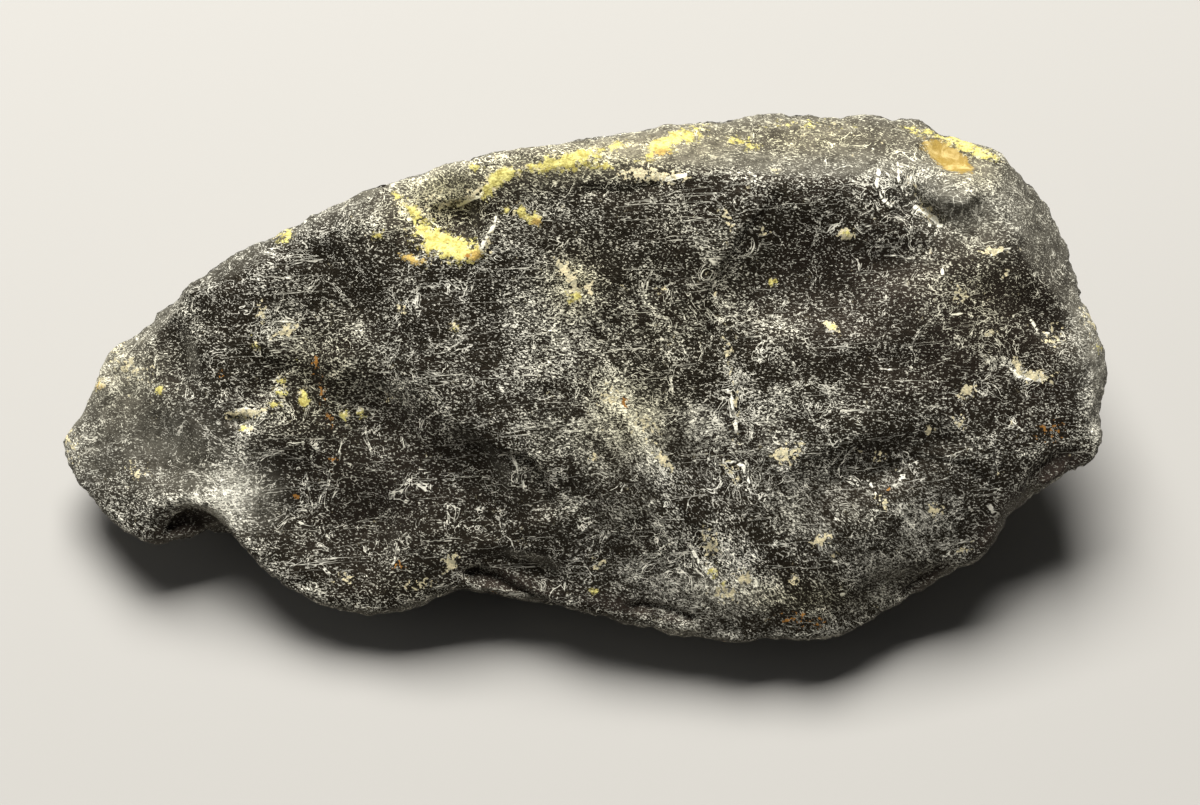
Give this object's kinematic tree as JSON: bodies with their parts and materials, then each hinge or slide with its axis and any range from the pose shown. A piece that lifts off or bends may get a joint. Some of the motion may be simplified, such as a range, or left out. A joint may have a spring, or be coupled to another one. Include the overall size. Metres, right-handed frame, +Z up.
{
  "type": "tektite",
  "caption": "Rough block of black natural glass: a leaning broad face with shallow hollows and chipped edges, resting on a small flat of its underside.",
  "frame": {"origin": "centre of the stone's bounding box, on the plane of the flat that it rests on", "axes": "+X along the stone towards its blunt end, +Y towards its high back edge, +Z up"},
  "size_m": [0.1058, 0.0498, 0.0335],
  "materials": {
    "tektite_glass": "satin"
  },
  "bodies": {
    "root": {"tektite": "tektite_glass"}
  },
  "joints": []
}
